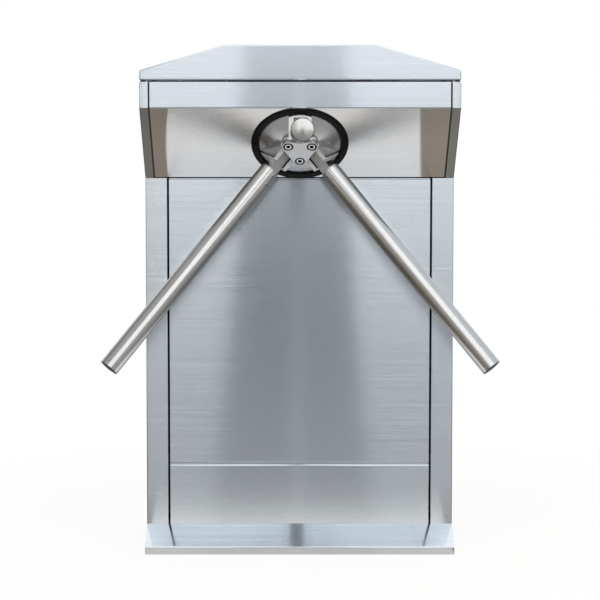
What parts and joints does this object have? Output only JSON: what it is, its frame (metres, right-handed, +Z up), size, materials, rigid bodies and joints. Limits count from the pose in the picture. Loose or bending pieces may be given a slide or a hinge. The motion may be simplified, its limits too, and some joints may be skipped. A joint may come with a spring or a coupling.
{
  "type": "tripod turnstile",
  "caption": "Floor-standing brushed steel turnstile: slim upright case with a sloped lid, a slanted hub and folding tube arms that turn to let people through singly.",
  "frame": {"origin": "middle of the rectangle of floor anchors, on the floor", "axes": "+Z up, -Y towards the passage that the arms close, +X along the passage (right in the picture)"},
  "size_m": [0.7904, 0.8918, 1.05],
  "materials": {
    "case_steel": "fine horizontal brush, satin",
    "hub_steel": "polished",
    "arm_steel": "polished tube",
    "arm_cap": "satin",
    "screw_steel": "bright",
    "collar_black": "satin",
    "frame_paint": "zinc grey",
    "mechanism_steel": "zinc plated",
    "bearing_steel": "ground",
    "housing_metal": "machined",
    "spring_steel": "wire",
    "coil_black": "satin",
    "hardware": "satin",
    "rubber": "matte",
    "lens": "smoked",
    "supply_case": "perforated case",
    "board": "solder mask"
  },
  "bodies": {
    "cabinet": {"base_plate": "frame_paint", "cable_grommet": "rubber", "plinth_front": "case_steel", "plinth_rear": "case_steel", "end_panel_left": "case_steel", "end_panel_right": "case_steel", "front_panel": "case_steel", "lower_panel": "case_steel", "rear_panel": "case_steel", "frame_posts": "frame_paint", "frame_rails": "frame_paint", "head_cheek_left": "case_steel", "head_cheek_right": "case_steel", "head_front_cover": "case_steel", "head_rear_cover": "case_steel", "lid_buffers": "rubber", "hinge_fixed_leaves": "hardware", "hub_collar": "collar_black", "mechanism_plate": "mechanism_steel", "bearing_housing": "housing_metal", "bearings": "bearing_steel", "damper": "housing_metal", "bolts_and_standoffs": "mechanism_steel", "lock_plate": "mechanism_steel", "solenoids": "coil_black", "centring_spring": "spring_steel", "component_plate": "frame_paint", "power_supply": "supply_case", "control_board": "board"},
    "lid": {"lid": "case_steel", "indicator_lenses": "lens", "hinge_lid_leaves": "hardware", "lock_barrel": "hardware"},
    "lid_lock": {"lock_core": "hardware"},
    "rotor": {"rotor_hub": "hub_steel", "arm_pivot_pins": "screw_steel", "cover_plate": "hub_steel", "cover_screws": "screw_steel", "rotor_shaft": "mechanism_steel", "drive_gear": "mechanism_steel", "lock_disc": "mechanism_steel", "shaft_nut": "mechanism_steel"},
    "damper_drive": {"damper_pinion": "mechanism_steel"},
    "crank": {"centring_crank": "mechanism_steel"},
    "left_pawl": {"pawl_left": "mechanism_steel"},
    "right_pawl": {"pawl_right": "mechanism_steel"},
    "left_plunger": {"plunger_left": "mechanism_steel"},
    "right_plunger": {"plunger_right": "mechanism_steel"},
    "arm_1": {"arm_root_1": "arm_steel", "arm_tube_1": "arm_steel", "arm_cap_1": "arm_cap", "arm_screws_1": "screw_steel"},
    "arm_2": {"arm_root_2": "arm_steel", "arm_tube_2": "arm_steel", "arm_cap_2": "arm_cap", "arm_screws_2": "screw_steel"},
    "arm_3": {"arm_root_3": "arm_steel", "arm_tube_3": "arm_steel", "arm_cap_3": "arm_cap", "arm_screws_3": "screw_steel"}
  },
  "joints": [
    {"name": "rotor_turn", "type": "hinge", "parent": "cabinet", "child": "rotor", "pos_m": [0, -0.151, 0.853], "axis": [0, -0.7071, -0.7071], "continuous": true},
    {"name": "damper_spin", "type": "hinge", "parent": "cabinet", "child": "damper_drive", "pos_m": [-0.08, -0.07463, 0.92937], "axis": [0, -0.7071, -0.7071], "continuous": true},
    {"name": "crank_spin", "type": "hinge", "parent": "cabinet", "child": "crank", "pos_m": [0, -0.1312, 0.98594], "axis": [0, -0.7071, -0.7071], "continuous": true, "deforming": ["centring_spring"]},
    {"name": "lid_lift", "type": "hinge", "parent": "cabinet", "child": "lid", "pos_m": [0, 0.0853, 0.977], "axis": [-1, 0, 0], "range_deg": [0, 80]},
    {"name": "lid_lock_turn", "type": "hinge", "parent": "lid", "child": "lid_lock", "pos_m": [0.31, -0.182, 0.9885], "axis": [1, 0, 0], "range_deg": [0, 90]},
    {"name": "arm_1_fold", "type": "hinge", "parent": "rotor", "child": "arm_1", "pos_m": [0, -0.19779, 0.87421], "axis": [1, 0, 0], "range_deg": [0, 90]},
    {"name": "arm_2_fold", "type": "hinge", "parent": "rotor", "child": "arm_2", "pos_m": [-0.04164, -0.14679, 0.82321], "axis": [-0.5, -0.6124, 0.6124], "range_deg": [0, 40]},
    {"name": "arm_3_fold", "type": "hinge", "parent": "rotor", "child": "arm_3", "pos_m": [0.04164, -0.14679, 0.82321], "axis": [-0.5, 0.6124, -0.6124], "range_deg": [0, 40]},
    {"name": "left_pawl_swing", "type": "hinge", "parent": "cabinet", "child": "left_pawl", "pos_m": [-0.066, -0.03433, 0.90603], "axis": [0, 0.7071, 0.7071], "range_deg": [0, 12], "stiffness_Nm_per_rad": 0.5, "springref_deg": -5.73},
    {"name": "left_plunger_push", "type": "slide", "parent": "cabinet", "child": "left_plunger", "axis": [1, 0, 0], "range_m": [0, 0.0065]},
    {"name": "right_pawl_swing", "type": "hinge", "parent": "cabinet", "child": "right_pawl", "pos_m": [0.066, -0.03433, 0.90603], "axis": [0, -0.7071, -0.7071], "range_deg": [0, 12], "stiffness_Nm_per_rad": 0.5, "springref_deg": -5.73},
    {"name": "right_plunger_push", "type": "slide", "parent": "cabinet", "child": "right_plunger", "axis": [-1, 0, 0], "range_m": [0, 0.0065]}
  ],
  "couplings": [
    {"joint": "damper_spin", "follows": "rotor_turn", "ratio": -3},
    {"joint": "crank_spin", "follows": "rotor_turn", "ratio": -3},
    {"joint": "left_plunger_push", "follows": "left_pawl_swing", "m_per_rad": 0.0305},
    {"joint": "right_plunger_push", "follows": "right_pawl_swing", "m_per_rad": 0.0305}
  ]
}
